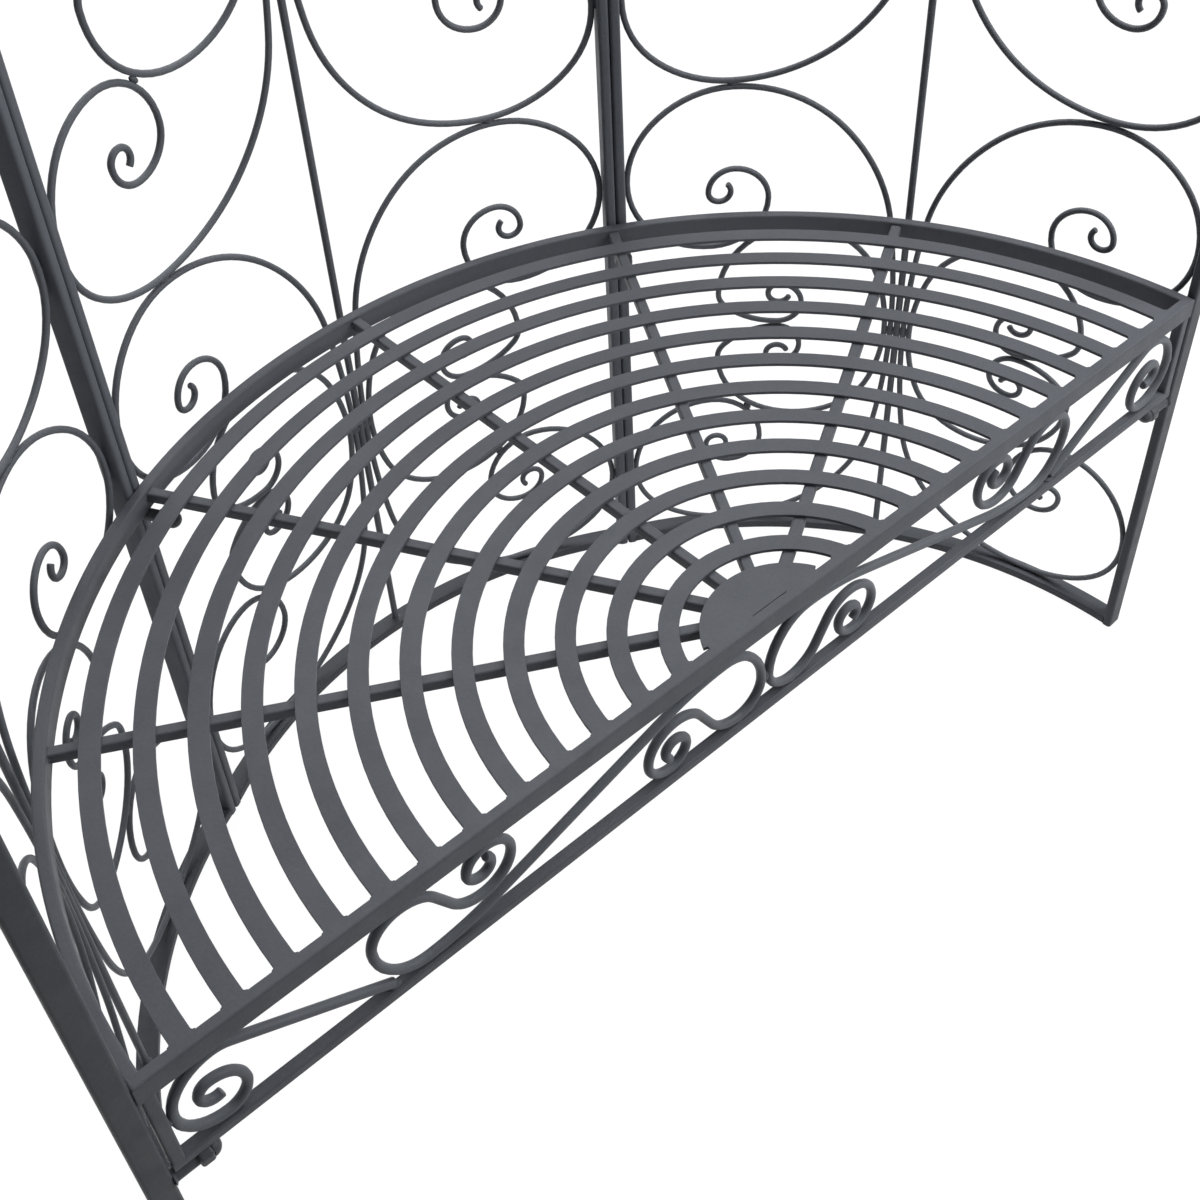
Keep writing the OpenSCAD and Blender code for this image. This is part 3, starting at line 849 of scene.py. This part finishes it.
bolt_rise = rail_low.z - head_af / 2 - bench_gap
pair_rise = ring_low.z - shoulder_r - bench_gap
front_a = post_angles["right_post_front"]
pair_a = (post_angles["right_post_back"] + post_angles["back_post_right"]) / 2
bolt_places = [
    (Vector((ring_r * math.cos(front_a), front_y, bolt_rise)), 0),
    (on_circle(ring_r, pair_a, pair_rise), pair_a),
    (on_circle(ring_r, math.pi - pair_a, pair_rise), math.pi - pair_a),
    (Vector((-ring_r * math.cos(front_a), front_y, bolt_rise)), math.pi),
]
copies = []
for place, angle in bolt_places:
    copy = bolt.copy()
    copy.data = bolt.data.copy()
    bpy.context.collection.objects.link(copy)
    lay = Matrix.Rotation(angle, 4, "Z") @ Matrix.Rotation(-math.pi / 2, 4, "Y")
    copy.data.transform(Matrix.Translation(place) @ lay)
    copies.append(copy)
put_on(joined(copies), "bench_shoulder_bolts", bolt_coat, "bolt_coat", "bench_bolts")
bpy.data.objects.remove(bolt)
bpy.data.objects.remove(weld_bump)


# The roof is a half-round arch over the two front posts and two ribs that rise from the pairs of
# posts behind, all of the post's flat tube, with a small plate under the crown that joins them.
arch_steps = 96
arch_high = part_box("roof_arch")[1]
arch_r = arch_high.x - post_tube_w / 2
arch = bent_tube(
    (arch_r, front_y, post_top), (0, 0, 0), (post_tube_w, post_tube_t), frame_edge,
    [(-math.pi, arch_steps, (0, front_y, post_top), (0, 1, 0))])
put_on(arch, "roof_arch_tube", frame_coat, "frame_coat", "roof_arch")

rib_flat = 0.036
rib_steps = 48
rib_foot = on_circle(post_r, pair_a, post_top)
rib_reach = math.hypot(rib_foot.x, rib_foot.y - front_y)
rib_a = math.atan2(rib_foot.y - front_y, rib_foot.x)
rib_r = rib_reach - spoke_in - rib_flat
for side, angle in (("right", rib_a), ("left", math.pi - rib_a)):
    way = Vector((math.cos(angle), math.sin(angle), 0))
    foot = Vector((0, front_y, post_top)) + way * rib_reach
    bend_centre = foot - way * rib_r + Vector((0, 0, arch_r - rib_r))
    rib = bent_tube(
        foot, (0, 0, angle), (post_tube_w, post_tube_t), frame_edge,
        [((0, 0, arch_r - rib_r),),
         (-math.pi / 2, rib_steps, bend_centre, (-way.y, way.x, 0)),
         (-way * rib_flat,)])
    put_on(rib, f"roof_rib_tube_{side}", frame_coat, "frame_coat", f"roof_rib_{side}")

crown_low, crown_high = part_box("crown_plate")
crown_r = crown_high.x
bpy.ops.object.select_all(action="DESELECT")
bpy.ops.mesh.primitive_cylinder_add(
    vertices=96, radius=crown_r, depth=crown_high.z - crown_low.z,
    location=(0, front_y, (crown_low.z + crown_high.z) / 2))
crown = bpy.context.object
bpy.ops.object.transform_apply(location=True, rotation=True, scale=True)
cut_at_tube(crown, front_y + post_tube_t / 2)
round_edges(crown, lies_level, slat_edge, rim_steps)
put_on(crown, "roof_crown_plate", frame_coat, "frame_coat", "crown_plate")


# The floor is a plain white plane. To the camera it is nearly white by itself, and the rest of its
# tone comes from the light, so it keeps the gazebo's shadow.
floor_own_light = 0.87
bpy.ops.object.select_all(action="DESELECT")
bpy.ops.mesh.primitive_plane_add(size=40, location=(0, 0, 0))
floor = bpy.context.object
floor.name = "studio_floor"
white = bpy.data.materials.new("studio_white")
white.use_nodes = True
tree = white.node_tree
paper = tree.nodes["Principled BSDF"]
paper.inputs["Base Color"].default_value = (0.86, 0.86, 0.86, 1)
paper.inputs["Roughness"].default_value = 0.9
paper.inputs["Specular IOR Level"].default_value = 0.1
glow = tree.nodes.new("ShaderNodeEmission")
glow.inputs["Color"].default_value = (1, 1, 1, 1)
glow.inputs["Strength"].default_value = 1.1
share = tree.nodes.new("ShaderNodeMixShader")
rays = tree.nodes.new("ShaderNodeLightPath")


def seen_directly(tree, rays):
    """1 for what the camera sees, also by reflection or through something clear"""
    total = rays.outputs["Is Camera Ray"]
    for kind in ("Is Glossy Ray", "Is Transmission Ray"):
        add = tree.nodes.new("ShaderNodeMath")
        add.operation = "ADD"
        add.use_clamp = True
        tree.links.new(total, add.inputs[0])
        tree.links.new(rays.outputs[kind], add.inputs[1])
        total = add.outputs["Value"]
    return total


part = tree.nodes.new("ShaderNodeMath")
part.operation = "MULTIPLY"
part.inputs[1].default_value = floor_own_light
tree.links.new(seen_directly(tree, rays), part.inputs[0])
tree.links.new(part.outputs["Value"], share.inputs["Fac"])
tree.links.new(paper.outputs["BSDF"], share.inputs[1])
tree.links.new(glow.outputs["Emission"], share.inputs[2])
tree.links.new(share.outputs["Shader"], tree.nodes["Material Output"].inputs["Surface"])
floor.data.materials.append(white)


# Studio light: two large soft panels high up behind, a smaller one close by at the front right, one
# that hangs over the roof, and an even white surround that looks bright but gives little light.
surround_light = 0.02
light_target = Vector((0, 0, 0.45))
world = bpy.data.worlds.new("studio_surround")
bpy.context.scene.world = world
world.use_nodes = True
tree = world.node_tree
background = tree.nodes["Background"]
background.inputs["Color"].default_value = (1, 1, 1, 1)
rays = tree.nodes.new("ShaderNodeLightPath")
level = tree.nodes.new("ShaderNodeMapRange")
level.inputs["To Min"].default_value = surround_light
level.inputs["To Max"].default_value = 1
tree.links.new(seen_directly(tree, rays), level.inputs["Value"])
tree.links.new(level.outputs["Result"], background.inputs["Strength"])
for name, place, power, size in (
        ("back_right_panel", (1.3, 1.2, 3.6), 74, 2.0),
        ("back_panel", (0, 2.6, 3.0), 32, 2.0),
        ("front_right_panel", (1.1, -1.1, 1.4), 22, 1.0),
        ("hanging_panel", (0.1, -0.5, 2.9), 7, 0.8)):
    bpy.ops.object.light_add(type="AREA", location=place)
    lamp = bpy.context.object
    lamp.name = name
    lamp.data.energy = power
    lamp.data.size = size
    lamp.rotation_euler = (light_target - Vector(place)).to_track_quat("-Z", "Y").to_euler()

bpy.context.scene.view_settings.view_transform = "Standard"
